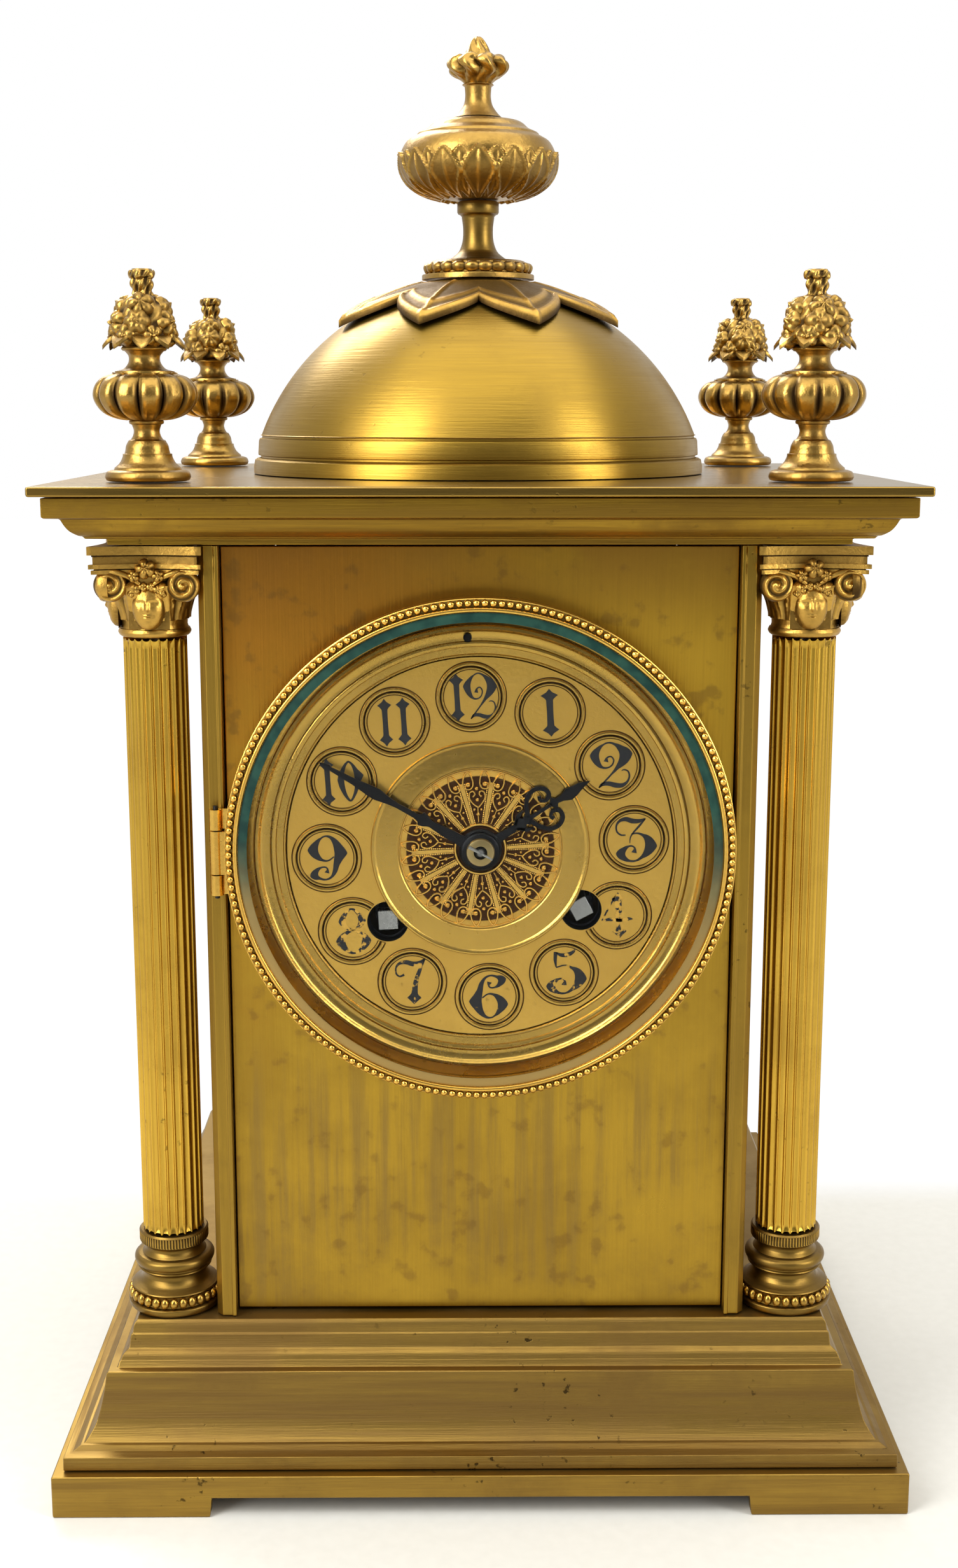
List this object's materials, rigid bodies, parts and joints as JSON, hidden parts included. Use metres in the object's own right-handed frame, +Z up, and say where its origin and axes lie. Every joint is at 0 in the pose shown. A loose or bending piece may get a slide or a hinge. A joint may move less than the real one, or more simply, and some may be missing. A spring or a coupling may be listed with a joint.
{
  "type": "mantel clock",
  "caption": "Architectural gilt brass mantel clock with fluted columns, dome, urn finials, round dial behind a hinged bezel, and a striking pendulum movement.",
  "frame": {"origin": "on the surface under the middle of the plinth", "axes": "+Z up, -Y towards the viewer of the dial, +X to the viewer's right"},
  "size_m": [0.2014, 0.1782, 0.3457],
  "materials": {
    "gilt_brass": "worn gilding, satin to polished, with brown patina",
    "aged_brass": "dull brown patina over brass",
    "dial_gilt": "matt frosted gilding",
    "movement_brass": "brushed",
    "steel": "polished steel",
    "black_steel": "blued black",
    "bell_metal": "turned bell metal",
    "glass": "clear"
  },
  "bodies": {
    "case": {"plinth": "aged_brass", "base_moulding": "aged_brass", "front_panel": "gilt_brass", "back_panel": "aged_brass", "left_side_panel": "gilt_brass", "right_side_panel": "gilt_brass", "front_post_left": "gilt_brass", "front_post_right": "gilt_brass", "back_post_left": "gilt_brass", "back_post_right": "gilt_brass", "cornice": "gilt_brass", "top_plate": "gilt_brass", "dome": "gilt_brass", "leaf_collar": "gilt_brass", "finial_ring": "gilt_brass", "finial_stem": "gilt_brass", "finial_bowl": "gilt_brass", "finial_bud": "gilt_brass", "urn_front_left": "gilt_brass", "urn_front_right": "gilt_brass", "urn_back_left": "gilt_brass", "urn_back_right": "gilt_brass", "column_base_left": "gilt_brass", "column_shaft_left": "gilt_brass", "column_capital_left": "gilt_brass", "column_base_right": "gilt_brass", "column_shaft_right": "gilt_brass", "column_capital_right": "gilt_brass", "bezel_seat": "gilt_brass", "bezel_hinge_pin": "steel", "back_ring": "gilt_brass", "back_hinge_pin": "steel", "dial_ring": "dial_gilt", "dial_centre": "dial_gilt", "front_plate": "movement_brass", "back_plate": "movement_brass", "bell": "bell_metal", "bell_stand": "steel"},
    "bezel": {"bezel": "gilt_brass", "bezel_glass": "glass"},
    "back_door": {"back_door": "gilt_brass"},
    "centre": {"centre_arbor": "steel", "minute_hand": "black_steel"},
    "hour": {"hour_wheel": "movement_brass", "hour_hand": "black_steel"},
    "minute_wheel": {"minute_wheel": "movement_brass"},
    "intermediate": {"intermediate_wheel": "movement_brass"},
    "going_barrel": {"going_barrel": "movement_brass"},
    "third": {"third_wheel": "movement_brass"},
    "escape": {"escape_wheel": "movement_brass"},
    "anchor": {"anchor": "steel"},
    "pendulum": {"pendulum": "steel"},
    "going_winding": {"going_winding_arbor": "steel"},
    "strike_winding": {"strike_winding_arbor": "steel"},
    "strike_barrel": {"strike_barrel": "movement_brass"},
    "second": {"second_wheel": "movement_brass"},
    "pin_wheel": {"pin_wheel": "movement_brass"},
    "warning": {"warning_wheel": "movement_brass"},
    "fly": {"fly": "movement_brass"},
    "hammer": {"hammer": "steel"}
  },
  "joints": [
    {"name": "bezel_hinge", "type": "hinge", "parent": "case", "child": "bezel", "pos_m": [-0.0603, -0.0718, 0.1564], "axis": [0, 0, -1], "range_deg": [0, 110]},
    {"name": "back_door_hinge", "type": "hinge", "parent": "case", "child": "back_door", "pos_m": [0.0556, 0.072, 0.1564], "axis": [0, 0, -1], "range_deg": [0, 115]},
    {"name": "centre_spin", "type": "hinge", "parent": "case", "child": "centre", "pos_m": [0, -0.04, 0.1564], "axis": [0, 1, 0], "continuous": true},
    {"name": "hour_spin", "type": "hinge", "parent": "case", "child": "hour", "pos_m": [0, -0.04, 0.1564], "axis": [0, 1, 0], "continuous": true},
    {"name": "minute_wheel_spin", "type": "hinge", "parent": "case", "child": "minute_wheel", "pos_m": [-0.00071, -0.04, 0.16838], "axis": [0, 1, 0], "continuous": true},
    {"name": "intermediate_spin", "type": "hinge", "parent": "case", "child": "intermediate", "pos_m": [0.00243, -0.04, 0.13957], "axis": [0, 1, 0], "continuous": true},
    {"name": "going_barrel_spin", "type": "hinge", "parent": "case", "child": "going_barrel", "pos_m": [0.0233, -0.04, 0.14186], "axis": [0, 1, 0], "continuous": true},
    {"name": "third_spin", "type": "hinge", "parent": "case", "child": "third", "pos_m": [0.00294, -0.04, 0.17096], "axis": [0, 1, 0], "continuous": true},
    {"name": "escape_spin", "type": "hinge", "parent": "case", "child": "escape", "pos_m": [-0.0016, -0.04, 0.18335], "axis": [0, 1, 0], "continuous": true},
    {"name": "pendulum_swing", "type": "hinge", "parent": "case", "child": "pendulum", "pos_m": [-0.00239, -0.015, 0.19663], "axis": [0, 1, 0], "range_deg": [-3.5, 3.5]},
    {"name": "anchor_swing", "type": "hinge", "parent": "case", "child": "anchor", "pos_m": [-0.00239, -0.027, 0.19663], "axis": [0, 1, 0], "range_deg": [-3.5, 3.5]},
    {"name": "going_winding_turn", "type": "hinge", "parent": "case", "child": "going_winding", "pos_m": [0.0233, -0.04, 0.14186], "axis": [0, 1, 0], "continuous": true},
    {"name": "strike_winding_turn", "type": "hinge", "parent": "case", "child": "strike_winding", "pos_m": [-0.02142, -0.04, 0.1392], "axis": [0, 1, 0], "continuous": true},
    {"name": "pin_wheel_spin", "type": "hinge", "parent": "case", "child": "pin_wheel", "pos_m": [-0.0249, -0.04, 0.17146], "axis": [0, 1, 0], "continuous": true},
    {"name": "strike_barrel_spin", "type": "hinge", "parent": "case", "child": "strike_barrel", "pos_m": [-0.02142, -0.04, 0.1392], "axis": [0, 1, 0], "continuous": true},
    {"name": "second_spin", "type": "hinge", "parent": "case", "child": "second", "pos_m": [-0.01719, -0.04, 0.15977], "axis": [0, 1, 0], "continuous": true},
    {"name": "warning_spin", "type": "hinge", "parent": "case", "child": "warning", "pos_m": [-0.01607, -0.04, 0.17981], "axis": [0, 1, 0], "continuous": true},
    {"name": "fly_spin", "type": "hinge", "parent": "case", "child": "fly", "pos_m": [-0.02204, -0.04, 0.18733], "axis": [0, 1, 0], "continuous": true},
    {"name": "hammer_lift", "type": "hinge", "parent": "case", "child": "hammer", "pos_m": [-0.03879, 0.002, 0.16011], "axis": [0, -1, 0], "range_deg": [0, 14]}
  ],
  "couplings": [
    {"joint": "hour_spin", "follows": "centre_spin", "ratio": 0.083333},
    {"joint": "minute_wheel_spin", "follows": "centre_spin", "ratio": -0.33333},
    {"joint": "intermediate_spin", "follows": "centre_spin", "ratio": -0.13333},
    {"joint": "going_barrel_spin", "follows": "centre_spin", "ratio": 0.022222},
    {"joint": "third_spin", "follows": "centre_spin", "ratio": -10},
    {"joint": "escape_spin", "follows": "centre_spin", "ratio": 100},
    {"joint": "anchor_swing", "follows": "pendulum_swing", "ratio": 1},
    {"joint": "second_spin", "follows": "pin_wheel_spin", "ratio": -0.16667},
    {"joint": "strike_barrel_spin", "follows": "pin_wheel_spin", "ratio": 0.027778},
    {"joint": "warning_spin", "follows": "pin_wheel_spin", "ratio": -8},
    {"joint": "fly_spin", "follows": "pin_wheel_spin", "ratio": 56}
  ]
}
